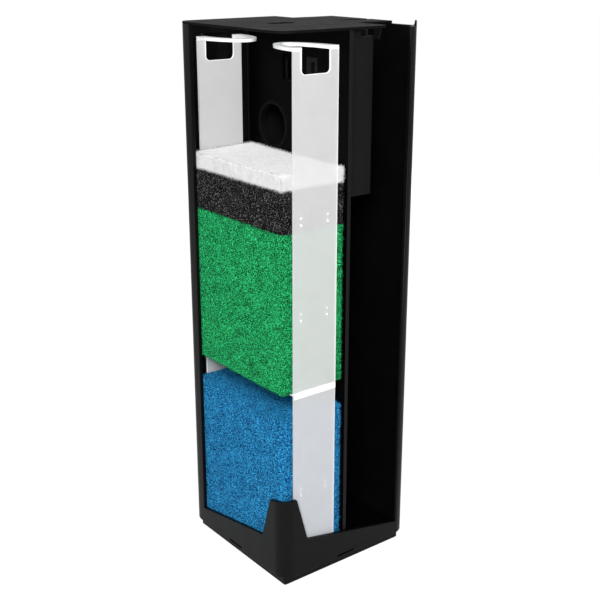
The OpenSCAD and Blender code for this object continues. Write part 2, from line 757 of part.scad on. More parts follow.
module cover_seal() color(rubber_black) placed() {
    translate([pump_x, pump_y1 - seal_t, axis_z]) rotate([-90, 0, 0])
        rotate_extrude() translate([seal_r, 0]) circle(seal_t - run_fit, $fn = 24);
}

module impeller() color([0.5, 0.5, 0.52]) placed() {
    difference() {
        union() {
            pump_rod(magnet_r, magnet_y, magnet_y + magnet_l);
            pump_rod(hub_r, magnet_y, hub_y1);
            pump_rod(blade_r, disc_y, disc_y + disc_t);
            for (i = [0 : blade_n - 1])
                translate([pump_x, disc_y, axis_z]) rotate([0, i * 360 / blade_n, 0])
                    translate([0, 0, -blade_t / 2])
                        cube([blade_r - run_fit, disc_t + blade_l, blade_t]);
        }
        pump_rod(shaft_r + run_fit, magnet_y - over, hub_y1 + over);
    }
}

module impeller_shaft() color([0.8, 0.8, 0.8]) placed() {
    pump_rod(shaft_r, well_y - bush_l + end_play, front_bush_y + bush_l - end_play);
}

// Rubber bush on the pump's axis
module bush(y0, y1) {
    difference() {
        pump_rod(bush_r, y0, y1);
        pump_rod(shaft_r + bush_fit, y0 - over, y1 + over);
    }
}

module shaft_bush_rear() color(rubber_black) placed() {
    bush(well_y - bush_l, well_y + bush_proud);
}

module shaft_bush_front() color(rubber_black) placed() {
    bush(front_bush_y, front_bush_y + bush_l);
}

module flow_gate() color([0.35, 0.36, 0.38]) placed() {
    gate_y = cover_y1 + 2 * run_fit;
    difference() {
        union() {
            pump_rod(gate_r, gate_y, gate_y + gate_t);
            translate([pump_x, 0, axis_z])
                block([-lever_w / 2, gate_y, gate_r - lever_l / 2],
                      [lever_w / 2, gate_y + 2 * gate_t, gate_r + lever_l]);
        }
        pump_rod(stud_r + run_fit, gate_y - over, gate_y + gate_t + over);
        intake_windows(gate_y - over, gate_y + gate_t + over);
    }
}

module outlet_tail() color(pump_grey) placed() {
    plain = tail_rim + tail_l - tail_chamfer;
    translate([pump_x + outlet_dx, outlet_y, stub_top]) difference() {
        union() {
            translate([0, 0, -tail_plug]) cylinder(r = stub_bore - run_fit, h = tail_plug + tail_rim);
            cylinder(r = stub_r + stub_wall / 2, h = tail_rim);
            cylinder(r = tail_r, h = plain);
            translate([0, 0, plain])
                cylinder(r1 = tail_r, r2 = tail_r - tail_chamfer / 2, h = tail_chamfer);
        }
        translate([0, 0, -tail_plug - over])
            cylinder(r = tail_bore, h = tail_plug + tail_rim + tail_l + 2 * over);
    }
}

module cable_gland() color(rubber_black) placed() {
    boss_top = pump_z0 + pump_h + gland_boss_h;
    top = gland_collar + gland_l;
    translate([gland_x, gland_y, boss_top]) difference() {
        union() {
            translate([0, 0, -gland_boss_h])
                cylinder(r = gland_r - run_fit, h = gland_boss_h + gland_collar);
            cylinder(r = gland_r + gland_lip, h = gland_collar);
            translate([0, 0, gland_collar])
                cylinder(r1 = gland_r + gland_lip / 2, r2 = gland_r - gland_lip / 3, h = gland_l);
        }
        translate([0, 0, top - cord_l]) cylinder(r = cord_r, h = cord_l + over);
    }
}

module pump_feet() color(rubber_black) placed() {
    for (side = [-1, 1], y = [pump_y0 + foot_r, pump_y1 - foot_r])
        translate([pump_x + side * (pump_w / 2 - foot_r), y, box_floor]) {
            cylinder(r = foot_r, h = foot_rim);
            translate([0, 0, foot_rim]) cylinder(r1 = foot_r, r2 = foot_r / 2, h = foot_cone);
            cylinder(r = foot_r / 2, h = pump_foot_h);
        }
}

case_shell();
base_plate();
divider_wall();
port_grommet();
lid();
carrier_front_strap();
carrier_rear_strap();
carrier_shelf();
carrier_floor();
white_pad();
black_foam();
green_foam();
blue_foam();
pump_box();
pump_body();
pump_cover();
cover_seal();
impeller();
impeller_shaft();
shaft_bush_rear();
shaft_bush_front();
flow_gate();
outlet_tail();
cable_gland();
pump_feet();
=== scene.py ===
import json
import math
import random

import bmesh
import bpy
import numpy as np
from mathutils import Matrix, Vector


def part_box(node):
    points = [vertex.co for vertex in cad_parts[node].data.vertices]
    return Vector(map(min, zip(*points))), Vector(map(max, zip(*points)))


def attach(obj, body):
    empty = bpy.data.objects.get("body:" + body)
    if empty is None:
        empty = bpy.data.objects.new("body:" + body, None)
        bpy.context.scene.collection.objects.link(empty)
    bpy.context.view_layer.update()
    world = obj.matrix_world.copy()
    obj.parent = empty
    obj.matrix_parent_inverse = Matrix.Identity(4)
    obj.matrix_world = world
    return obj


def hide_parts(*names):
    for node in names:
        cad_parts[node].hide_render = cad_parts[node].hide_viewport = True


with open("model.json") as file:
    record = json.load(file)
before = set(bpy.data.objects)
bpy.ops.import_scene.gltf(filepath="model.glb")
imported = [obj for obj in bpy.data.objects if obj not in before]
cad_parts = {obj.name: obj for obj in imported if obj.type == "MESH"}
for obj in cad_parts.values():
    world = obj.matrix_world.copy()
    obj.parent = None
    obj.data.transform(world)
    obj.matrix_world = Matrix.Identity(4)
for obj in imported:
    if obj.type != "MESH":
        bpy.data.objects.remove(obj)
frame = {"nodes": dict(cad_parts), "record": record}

MM = 0.001
WHITE = (1.0, 1.0, 1.0, 1.0)
scene = bpy.context.scene
nodes = frame["nodes"]
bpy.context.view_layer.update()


# ---------------------------------------------------------------- camera

CAMERA_PLACE = (-0.49276, -0.63985, 0.48405)
CAMERA_LENS = 63.08         # mm, on a sensor 36 mm wide
CAMERA_DIP = 18.65          # degrees below level
CAMERA_TURN = -37.7         # degrees about the upright axis


def make_camera():
    """The display filter is seen from its near corner, a little from above."""
    data = bpy.data.cameras.new("display_camera")
    data.sensor_fit = "HORIZONTAL"
    data.sensor_width = 36.0
    data.lens = CAMERA_LENS
    data.clip_start = 0.01
    data.clip_end = 30.0
    camera = bpy.data.objects.new("display_camera", data)
    camera.location = CAMERA_PLACE
    camera.rotation_euler = (math.radians(90.0 - CAMERA_DIP), 0.0, math.radians(CAMERA_TURN))
    scene.collection.objects.link(camera)
    scene.camera = camera


make_camera()


# ---------------------------------------------------------------- material helpers

def srgb(r, g, b):
    """A colour picked on screen, 0 to 255, as the linear values that shaders take."""
    def linear(value):
        value /= 255.0
        return value / 12.92 if value <= 0.04045 else ((value + 0.055) / 1.055) ** 2.4
    return (linear(r), linear(g), linear(b), 1.0)


FINISHES = {}


class Finish:
    """A material with one Principled shader and patterns on Object coordinates."""

    def __init__(self, name, **sockets):
        material = bpy.data.materials.new(name)
        material.use_nodes = True
        FINISHES[name] = material
        self.tree = material.node_tree
        self.shader = self.tree.nodes["Principled BSDF"]
        self.coords = self.tree.nodes.new("ShaderNodeTexCoord")
        for socket, value in sockets.items():
            self.shader.inputs[socket.replace("_", " ")].default_value = value

    def node(self, kind, **settings):
        made = self.tree.nodes.new(kind)
        for name, value in settings.items():
            setattr(made, name, value)
        return made

    def join(self, source, target):
        self.tree.links.new(source, target)

    def feed(self, value, target):
        """Links an output to a socket, or sets the socket to a plain value."""
        if hasattr(value, "is_output"):
            self.join(value, target)
        else:
            target.default_value = value

    def stretched(self, scale):
        """Object coordinates, stretched by a factor along each axis."""
        mapping = self.node("ShaderNodeMapping")
        mapping.inputs["Scale"].default_value = scale
        self.join(self.coords.outputs["Object"], mapping.inputs["Vector"])
        return mapping.outputs["Vector"]

    def noise(self, size, detail=2.0, rough=0.5, vector=None, distortion=0.0):
        """Noise whose features are about size metres wide."""
        made = self.node("ShaderNodeTexNoise")
        made.inputs["Scale"].default_value = 1.0 / size
        made.inputs["Detail"].default_value = detail
        made.inputs["Roughness"].default_value = rough
        made.inputs["Distortion"].default_value = distortion
        self.join(vector or self.coords.outputs["Object"], made.inputs["Vector"])
        return made.outputs["Fac"]

    def cell_edges(self, size):
        """How far a place is from the border of its cell, for cells about size metres wide."""
        made = self.node("ShaderNodeTexVoronoi", feature="DISTANCE_TO_EDGE")
        made.inputs["Scale"].default_value = 1.0 / size
        self.join(self.coords.outputs["Object"], made.inputs["Vector"])
        return made.outputs["Distance"]

    def ramp(self, source, stops):
        """A colour ramp through (place, colour) stops."""
        made = self.node("ShaderNodeValToRGB")
        band = made.color_ramp
        while len(band.elements) < len(stops):
            band.elements.new(0.5)
        for element, (place, colour) in zip(band.elements, stops):
            element.position = place
            element.color = colour
        self.join(source, made.inputs["Fac"])
        return made.outputs["Color"]

    def span(self, source, low, high, from_low=0.0, from_high=1.0):
        """Moves values between from_low and from_high to between low and high."""
        made = self.node("ShaderNodeMapRange")
        made.inputs["From Min"].default_value = from_low
        made.inputs["From Max"].default_value = from_high
        made.inputs["To Min"].default_value = low
        made.inputs["To Max"].default_value = high
        self.join(source, made.inputs["Value"])
        return made.outputs["Result"]

    def mix(self, factor, first, second):
        """A colour between first and second."""
        made = self.node("ShaderNodeMix", data_type="RGBA")
        for place, value in ((0, factor), (6, first), (7, second)):
            self.feed(value, made.inputs[place])
        return made.outputs[2]

    def combine(self, operation, first, second):
        """One sum of two numbers or outputs."""
        made = self.node("ShaderNodeMath", operation=operation)
        self.feed(first, made.inputs[0])
        self.feed(second, made.inputs[1])
        return made.outputs[0]

    def weighted(self, *parts):
        """The sum of (output, weight) pairs."""
        total = 0.0
        for source, weight in parts:
            total = self.combine("ADD", total, self.combine("MULTIPLY", source, weight))
        return total

    def facing_up(self, low, high):
        """low on upright faces and high on level ones."""
        parts = self.node("ShaderNodeSeparateXYZ")
        self.join(self.coords.outputs["Normal"], parts.inputs[0])
        return self.span(parts.outputs["Z"], low, high, 0.55, 0.98)

    def bump(self, height, distance, strength=1.0):
        made = self.node("ShaderNodeBump")
        made.inputs["Distance"].default_value = distance
        made.inputs["Strength"].default_value = strength
        self.join(height, made.inputs["Height"])
        self.join(made.outputs["Normal"], self.shader.inputs["Normal"])

    def colour(self, source):
        self.join(source, self.shader.inputs["Base Color"])

    def roughness(self, source):
        self.join(source, self.shader.inputs["Roughness"])


# ---------------------------------------------------------------- finishes

def moulded_plastic(name, dark, light, rough, grain=0.0005, grain_depth=0.00003, specular=0.4):
    """Satin moulded plastic: fine grain, faint flow clouds and polished patches."""
    finish = Finish(name, Specular_IOR_Level=specular)
    clouds = finish.noise(0.045, detail=4.0, rough=0.6)
    flecks = finish.noise(0.0011)
    tone = finish.weighted((finish.span(clouds, 0.0, 1.0, 0.3, 0.7), 0.75), (flecks, 0.25))
    finish.colour(finish.ramp(tone, [(0.0, dark), (1.0, light)]))
    rubbed = finish.noise(0.02, detail=5.0, rough=0.65)
    finish.roughness(finish.span(rubbed, rough - 0.05, rough + 0.07, 0.3, 0.7))
    fine = finish.noise(grain, detail=3.0, rough=0.6)
    wide = finish.noise(0.03, detail=1.0)
    finish.bump(finish.weighted((fine, 1.0), (wide, 3.0)), grain_depth)


def frosted_plastic(name, dark, light, cover=1.0):
    """Frosted natural polypropylene. Each face of a thin sheet hides the share cover."""
    finish = Finish(name, IOR=1.49, Specular_IOR_Level=0.25, Alpha=cover)
    clouds = finish.noise(0.016, detail=4.0, rough=0.6)
    finish.colour(finish.ramp(clouds, [(0.3, dark), (0.7, light)]))
    rubbed = finish.noise(0.006, detail=4.0, rough=0.6)
    finish.roughness(finish.span(rubbed, 0.4, 0.52, 0.3, 0.7))
    finish.bump(finish.noise(0.0008, detail=3.0), 0.00002)


def open_cell_foam(name, pit, body, strut, stops=(0.46, 0.68, 0.88), top=0.0):
    """Open-cell foam: dark pits between light struts, partly the foam's own speckle and partly
    painted shade in the hollows that the bump sinks. Level faces are lighter by top, a painted
    light.
    """
    finish = Finish(name, Roughness=0.9, Specular_IOR_Level=0.12)
    cells = finish.span(finish.cell_edges(0.0008), 1.0, 0.0, 0.0, 0.42)
    fine = finish.noise(0.00064, rough=0.6)
    wide = finish.noise(0.012, detail=3.0, rough=0.6)
    relief = finish.node("ShaderNodeAttribute", attribute_name="pore_depth")
    # painted shade in the pits from the cells and pore_depth, and painted light on level faces from
    # facing_up
    tone = finish.weighted((cells, 0.36),
                           (finish.span(fine, 0.0, 1.0, 0.35, 0.65), 0.68),
                           (finish.span(wide, -1.0, 0.0, 0.3, 0.7), 0.08),
                           (relief.outputs["Fac"], 0.2),
                           (finish.facing_up(0.0, top), 1.0))
    finish.colour(finish.ramp(tone, list(zip(stops, (pit, body, strut)))))
    finish.bump(finish.combine("ADD", cells, fine), 0.0005, 0.8)


def fibre_floss(name):
    """Bonded white floss: matted fibres whose small hollows are darker, a painted shade that
    follows the bump, and level faces lighter, a painted light from above.
    """
    finish = Finish(name, Roughness=0.95, Specular_IOR_Level=0.15, Sheen_Weight=0.15)
    strands = finish.noise(0.0016, detail=5.0, rough=0.7, distortion=2.0)
    matted = finish.noise(0.009, detail=3.0, rough=0.6)
    tone = finish.weighted((strands, 0.6), (matted, 0.4))
    side = finish.ramp(tone, [(0.3, srgb(186, 187, 187)), (0.62, srgb(225, 225, 224))])
    # painted light: level faces take this lighter tone in place of light falling on the pad's top
    painted_top_light = finish.ramp(tone, [(0.3, srgb(224, 225, 225)), (0.62, srgb(248, 248, 247))])
    finish.colour(finish.mix(finish.facing_up(0.0, 1.0), side, painted_top_light))
    finish.bump(strands, 0.0008, 0.7)


def soft_rubber(name):
    """Matt black rubber with a little dust."""
    finish = Finish(name, Specular_IOR_Level=0.06)
    dust = finish.noise(0.006, detail=4.0, rough=0.6)
    finish.colour(finish.ramp(dust, [(0.3, srgb(5, 5, 5)), (0.75, srgb(10, 10, 11))]))
    finish.roughness(finish.span(dust, 0.62, 0.78, 0.3, 0.7))
    finish.bump(finish.noise(0.0006, detail=3.0), 0.00003)


def ground_ceramic(name):
    """Ground ceramic with faint rings round the shaft."""
    finish = Finish(name, Roughness=0.3)
    rings = finish.noise(0.0004, vector=finish.stretched((0.2, 3.0, 0.2)))
    finish.colour(finish.ramp(rings, [(0.3, srgb(222, 220, 214)), (0.7, srgb(238, 237, 232))]))
    finish.bump(rings, 0.00001)


moulded_plastic("case_plastic", srgb(4, 4, 4), srgb(8, 8, 8), 0.36, specular=0.14)
moulded_plastic("lid_plastic", srgb(10, 10, 10), srgb(15, 15, 15), 0.62,
                grain=0.0007, grain_depth=0.00002, specular=0.04)
frosted_plastic("carrier_plastic", srgb(205, 205, 205), srgb(209, 209, 210), cover=0.58)
# the straps' rims, beads, barbs and loops and the shelf and floor: solid, and lighter than the
# sheet by a painted highlight
frosted_plastic("carrier_edge", srgb(238, 239, 240), srgb(244, 245, 246))
fibre_floss("white_floss")
open_cell_foam("black_foam", srgb(0, 0, 0), srgb(5, 5, 5), srgb(150, 147, 148),
               stops=(0.64, 0.91, 1.0))
open_cell_foam("green_foam", srgb(0, 30, 8), srgb(0, 118, 58), srgb(56, 224, 136))
# top is painted light on the blue foam's level faces, which lie in the green foam's shade
open_cell_foam("blue_foam", srgb(0, 26, 66), srgb(0, 90, 148), srgb(64, 184, 244), top=0.05)
# a darker copy of the black plastic: painted shade on the divider wall and on the base plate's
# inner faces
moulded_plastic("painted_shade_plastic", srgb(1, 1, 1), srgb(3, 3, 3), 0.5, specular=0.03)
# a lighter black for the pump box; on the divider's front edge it is painted light
moulded_plastic("box_and_lit_edge_plastic", srgb(12, 12, 12), srgb(18, 18, 18), 0.4, specular=0.14)
moulded_plastic("pump_plastic", srgb(34, 34, 36), srgb(44, 44, 47), 0.4)
moulded_plastic("impeller_plastic", srgb(150, 152, 156), srgb(172, 174, 178), 0.4)
moulded_plastic("magnet_ferrite", srgb(30, 29, 30), srgb(42, 41, 42), 0.5, grain=0.0003)
moulded_plastic("gate_plastic", srgb(118, 121, 126), srgb(136, 139, 144), 0.42)
soft_rubber("rubber")
ground_ceramic("ceramic")

NODE_SLOT = {entry["node"]: entry["material_slot"] for entry in frame["record"]["subparts"]}
NODE_BODY = {name: body for body, members in frame["record"]["behaviour"]["bodies"].items()
             for name in members}


def dress(piece, slot):
    """Gives a piece the finish of a record slot."""
    piece.data.materials.clear()
    piece.data.materials.append(FINISHES[slot])


# ---------------------------------------------------------------- piece helpers

FLAT_ANGLE = math.radians(0.5)      # faces that turn less than this lie in one plane
WELD_GAP = 6e-5                     # m, corners closer than this are one corner
NO_ANGLE = 9.0                      # stands for the angle of an edge that has none


def new_piece(name, mesh):
    piece = bpy.data.objects.new(name, mesh)
    scene.collection.objects.link(piece)
    return piece


def mesh_from(form, name):
    mesh = bpy.data.meshes.new(name)
    form.to_mesh(mesh)
    form.free()
    return mesh


def join_flat_faces(form):
    """Joins neighbours that lie in one plane, without closing a ring round a hole."""
    seams = [seam for seam in form.edges
             if len(seam.link_faces) == 2 and seam.calc_face_angle(NO_ANGLE) < FLAT_ANGLE]
    seams.sort(key=lambda seam: -seam.calc_length())
    for seam in seams:
        if not seam.is_valid or len(seam.link_faces) != 2:
            continue
        one, two = seam.link_faces
        shared_edges = sum(two in edge.link_faces for edge in one.edges)
        shared_points = sum(two in point.link_faces for point in one.verts)
        if shared_points == shared_edges + 1:
            bmesh.utils.face_join((one, two), True)
    straight = [point for point in form.verts
                if len(point.link_edges) == 2 and point.calc_edge_angle(NO_ANGLE) < FLAT_ANGLE]
    bmesh.ops.dissolve_verts(form, verts=straight)


def clean_copy(node):
    """The solid's mesh with its loose triangles joined into the flat faces that they make up."""
    form = bmesh.new()
    form.from_mesh(nodes[node].data)
    bmesh.ops.remove_doubles(form, verts=form.verts, dist=WELD_GAP)
    bmesh.ops.dissolve_degenerate(form, edges=form.edges, dist=1e-6)
    join_flat_faces(form)
    return form


# ---------------------------------------------------------------- rounded edges

SMOOTH_ANGLE = 28.0         # degrees, edges that turn more than this are moulded edges
SHARPEST = 125.0            # degrees, edges that turn more than this stay sharp
ROOM_FOR_ROUNDING = 2.3     # a rounding needs this many times its width on both sides
ROUNDING_SEGMENTS = 2
EASE_ROUNDS = 8
FOLD_RATIO = 1.015          # a face whose triangles cover more than its area has folded
FOLD_AREA = 3e-7            # m2, that much more is let pass on small faces
FOLD_CORNERS = 9            # faces with this many corners or more aren't measured
BOX_SLACK = 2e-5            # m


def depth_from(face, edge):
    """How far a face reaches from one of its edges."""
    start = edge.verts[0].co
    along = (edge.verts[1].co - start).normalized()
    reaches = [point.co - start for point in face.verts]
    return max((reach - along * reach.dot(along)).length for reach in reaches)


def mark_outer_edges(form, width):
    """Gives bevel weight to the outer edges whose faces have room for the rounding."""
    weight = form.edges.layers.float.new("bevel_weight_edge")
    for corner in form.edges:
        if len(corner.link_faces) != 2 or not corner.is_convex:
            continue
        turn = corner.calc_face_angle(0.0)
        if not math.radians(SMOOTH_ANGLE) < turn < math.radians(SHARPEST):
            continue
        if all(depth_from(face, corner) > ROOM_FOR_ROUNDING * width for face in corner.link_faces):
            corner[weight] = 1.0


def tangled_points(face):
    """The corners of a face's outline where two of its sides cut across each other."""
    drop = max(range(3), key=lambda axis: abs(face.normal[axis]))
    keep = [axis for axis in range(3) if axis != drop]
    corners = list(face.verts)
    flat = [(point.co[keep[0]], point.co[keep[1]]) for point in corners]
    count = len(flat)

    def turn(a, b, c):
        return (b[0] - a[0]) * (c[1] - a[1]) - (b[1] - a[1]) * (c[0] - a[0])

    found = []
    for first in range(count):
        a, b = flat[first], flat[(first + 1) % count]
        for second in range(first + 2, count):
            if (second + 1) % count == first:
                continue
            c, d = flat[second], flat[(second + 1) % count]
            if turn(a, b, c) * turn(a, b, d) < 0.0 and turn(c, d, a) * turn(c, d, b) < 0.0:
                share = turn(c, d, a) / (turn(c, d, a) - turn(c, d, b))
                found.append(corners[first].co.lerp(corners[(first + 1) % count].co, share))
    return found


def crowded_spots(piece, low, high):
    """Places where the rounding folds over itself or leaves the solid's own box."""
    depsgraph = bpy.context.evaluated_depsgraph_get()
    shaped = bmesh.new()
    shaped.from_mesh(piece.evaluated_get(depsgraph).to_mesh())
    shaped.normal_update()
    spots = [spot for face in shaped.faces for spot in tangled_points(face)]
    spread = dict.fromkeys(shaped.faces, 0.0)
    for loops in shaped.calc_loop_triangles():
        a, b, c = (loop.vert.co for loop in loops)
        spread[loops[0].face] += (b - a).cross(c - a).length / 2.0
    spots += [point.co.copy() for face, area in spread.items()
              if area > FOLD_RATIO * face.calc_area() + FOLD_AREA and len(face.verts) < FOLD_CORNERS
              for point in face.verts]
    spots += [point.co.copy() for point in shaped.verts
              if any(not low[axis] - BOX_SLACK < point.co[axis] < high[axis] + BOX_SLACK
                     for axis in range(3))]
    shaped.free()
    return spots


def ease_rounding(piece, width):
    """Leaves edges sharp where there is no room to round them, further out in each round."""
    places = [point.co for point in piece.data.vertices]
    low = [min(place[axis] for place in places) for axis in range(3)]
    high = [max(place[axis] for place in places) for axis in range(3)]
    for attempt in range(EASE_ROUNDS):
        spots = crowded_spots(piece, low, high)
        if not spots:
            return
        reach = (1.6 + attempt ** 2) * width
        weight = piece.data.attributes["bevel_weight_edge"].data
        for line in piece.data.edges:
            if weight[line.index].value == 0.0:
                continue
            start, end = places[line.vertices[0]], places[line.vertices[1]]
            along = end - start
            for spot in spots:
                share = max(0.0, min(1.0, (spot - start).dot(along) / along.length_squared))
                if (start + along * share - spot).length < reach:
                    weight[line.index].value = 0.0
                    break
        piece.data.update()


def moulded_piece(node, edge):
    """A solid with its moulded edges rounded by edge mm, in place of its node."""
    form = clean_copy(node)
    mark_outer_edges(form, edge * MM)
    if node.endswith("_strap"):
        part_clear_sheet(form)
    elif node == "pump_body":
        groove_flanks(form)
    piece = new_piece(node + "_moulded", mesh_from(form, node + "_moulded"))
    for face in piece.data.polygons:
        face.use_smooth = True
    piece.data.set_sharp_from_angle(angle=math.radians(SMOOTH_ANGLE))
    rounding = piece.modifiers.new("rounded_edges", "BEVEL")
    rounding.width = edge * MM
    rounding.segments = ROUNDING_SEGMENTS
    rounding.limit_method = "WEIGHT"
    rounding.use_clamp_overlap = False
    rounding.harden_normals = True
    ease_rounding(piece, edge * MM)
    dress(piece, NODE_SLOT[node])
    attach(piece, NODE_BODY[node])
    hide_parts(node)
    return piece


# ---------------------------------------------------------------- straps and motor block

SQUARE_ON = 0.99            # a face square to an axis has more than this along it
# the band round the sheet's edges that takes the painted edge highlight
STRAP_RIM = 0.45 * MM
STRAP_FLANK = 40.0 * MM     # faces taller than this beside the rim belong to the long flanks
GROOVE_PITCH = 3.6 * MM
GROOVE_WIDTH = 1.8 * MM
GROOVE_DEPTH = 0.5 * MM
GROOVE_DRAFT = 0.35 * MM    # how much narrower a groove is at its bottom, on each side
GROOVE_MARGIN = 3.0 * MM    # plain flank left over, both ends together


def part_clear_sheet(form):
    """Sets the strap's broad faces and long flanks apart from the narrow rim round the rest, which
    carries a painted edge highlight.
    """
    def depth(face):
        return face.calc_center_median().y

    clear = form.faces.layers.int.new("clear_part")
    broad = [face for face in form.faces if abs(face.normal.y) > SQUARE_ON]
    broad.sort(key=lambda face: -face.calc_area())
    first = depth(broad[0])
    second = next(depth(face) for face in broad if abs(depth(face) - first) > 0.5 * MM)
    for level in (first, second):
        sheet = [face for face in form.faces
                 if abs(face.normal.y) > SQUARE_ON and abs(depth(face) - level) < 0.05 * MM]
        bmesh.ops.inset_region(form, faces=sheet, thickness=STRAP_RIM, depth=0.0,
                               use_boundary=True, use_even_offset=True)
        for face in sheet:
            face[clear] = 1
    widths = [point.co.x for point in form.verts]
    flanks = (min(widths), max(widths))
    for face in form.faces:
        heights = [point.co.z for point in face.verts]
        middle = face.calc_center_median().x
        if max(heights) - min(heights) > STRAP_FLANK \
                and min(abs(middle - flank) for flank in flanks) < 1.2 * STRAP_RIM:
            face[clear] = 1
    form.normal_update()


def groove_flanks(form):
    """Sinks upright cooling grooves into the two flanks of the motor block."""
    for side in (-1, 1):
        flank = max((face for face in form.faces if face.normal.x * side > SQUARE_ON),
                    key=lambda face: face.calc_area())
        level = flank.calc_center_median().x
        reach = [point.co.y for point in flank.verts]
        centre = (max(reach) + min(reach)) / 2.0
        count = int((max(reach) - min(reach) - GROOVE_MARGIN) / GROOVE_PITCH)
        middles = [centre + (number - (count - 1) / 2.0) * GROOVE_PITCH for number in range(count)]

        def flank_faces():
            return [face for face in form.faces if face.normal.x * side > SQUARE_ON
                    and abs(face.calc_center_median().x - level) < 0.01 * MM]

        for cut in [middle + half * GROOVE_WIDTH / 2.0 for middle in middles for half in (-1, 1)]:
            faces = flank_faces()
            lines = {line for face in faces for line in face.edges}
            points = {point for face in faces for point in face.verts}
            bmesh.ops.bisect_plane(form, geom=[*faces, *lines, *points], dist=1e-6,
                                   plane_co=(0.0, cut, 0.0), plane_no=(0.0, 1.0, 0.0))
        grooves = [face for face in flank_faces()
                   if min(abs(face.calc_center_median().y - middle) for middle in middles)
                   < 0.2 * GROOVE_WIDTH]
        bmesh.ops.inset_individual(form, faces=grooves, thickness=GROOVE_DRAFT,
                                   depth=-GROOVE_DEPTH, use_even_offset=True)
    form.normal_update()


def finish_part(piece, finish, chosen):
    """Gives the faces whose middle is chosen a second finish."""
    piece.data.materials.append(FINISHES[finish])
    for face in piece.data.polygons:
        if chosen(face.center):
            face.material_index = 1


def finish_strap(piece):
    """The sheet lets light through, while its rim, beads, barbs and loop are solid and painted a
    brighter white, a painted highlight.
    """
    piece.data.materials.append(FINISHES["carrier_edge"])
    for face, part in zip(piece.data.polygons, piece.data.attributes["clear_part"].data):
        face.material_index = 0 if part.value else 1
    piece.visible_shadow = False


# ---------------------------------------------------------------- foams

HASH_PRIMES = (73856093, 19349663, 83492791)
STRAND_BATCH = 150                              # strands built at a time
STRAND_ROOM = np.array((0.45, 0.45, 1.0)) * MM  # how far strands may leave the block
CUT_RIM = 1.6 * MM                              # strands stand this near to a cut edge
LUMP_SIZE = 5.5 * MM
SWELL_REACH = 0.028                             # m, how far the swelling reaches


def cell_noise(points, size, seed):
    """Distances to the nearest and second nearest of one random point per grid cell."""
    scaled = points / size
    home = np.floor(scaled).astype(np.int64)
    first = np.full(len(points), 9.0)
    second = np.full(len(points), 9.0)
    for dx in (-1, 0, 1):
        for dy in (-1, 0, 1):
            for dz in (-1, 0, 1):
                cell = home + (dx, dy, dz)
                key = np.bitwise_xor.reduce(cell * HASH_PRIMES, axis=1) ^ seed
                centre = np.empty(points.shape)
                for axis in range(3):
                    key = (key * 1103515245 + 12345) & 0x7FFFFFFF
                    centre[:, axis] = (key >> 8) % 4096 / 4096.0
                gap = np.linalg.norm(cell + centre - scaled, axis=1)
                nearer = gap < first
                second = np.where(nearer, first, np.minimum(second, gap))
                first = np.where(nearer, gap, first)
    return first, second


def soften_rims(form, width):
    """Rounds the block's upper and lower rims, as soft stuff bulges there."""
    rims = [edge for edge in form.edges
            if edge.is_convex and edge.calc_face_angle(0.0) > 1.2
            and abs(edge.verts[0].co.z - edge.verts[1].co.z) < 1e-5]
    bmesh.ops.bevel(form, geom=rims, offset=width, offset_type="OFFSET", segments=3, profile=0.5,
                    affect="EDGES", material=-1, clamp_overlap=True)


def broken_strands(spots, aims, length, width, low, high, chance):
    """A mesh of short loose strands that stand on the spots and stay between low and high."""
    form = bmesh.new()
    tone = form.verts.layers.float.new("pore_depth")
    for spot, aim in zip(spots, aims):
        stray = Vector([chance.gauss(0.0, 0.6) for _ in range(3)])
        line = (Vector(aim) + stray).normalized()
        reach = chance.uniform(0.5, 1.0) * length
        turn = line.to_track_quat("Z", "X").to_matrix().to_4x4()
        place = Matrix.Translation(Vector(spot) + line * reach * 0.3)
        made = bmesh.ops.create_cone(form, cap_ends=True, segments=3, radius1=width / 2.0,
                                     radius2=width / 5.0, depth=reach, matrix=place @ turn)
        shade = chance.uniform(0.35, 1.0)
        for point in made["verts"]:
            point[tone] = shade
            point.co = [min(max(point.co[axis], low[axis]), high[axis]) for axis in range(3)]
    return mesh_from(form, "strands")


def fray_edges(mesh, place, normal, count, length, width, seed):
    """Sets broken strands, sized in mm, along the edges where the block was cut."""
    low, high = place.min(axis=0), place.max(axis=0)
    close = (place - low < CUT_RIM) | (high - place < CUT_RIM)
    rims = np.flatnonzero(close.sum(axis=1) >= 2)
    chance = random.Random(seed)
    picks = [rims[chance.randrange(len(rims))] for _ in range(count)]
    form = bmesh.new()
    form.from_mesh(mesh)
    for start in range(0, count, STRAND_BATCH):
        batch = picks[start:start + STRAND_BATCH]
        strands = broken_strands(place[batch], normal[batch], length * MM, width * MM,
                                 low - STRAND_ROOM, high + STRAND_ROOM, chance)
        form.from_mesh(strands)
        bpy.data.meshes.remove(strands)
    form.to_mesh(mesh)
    form.free()


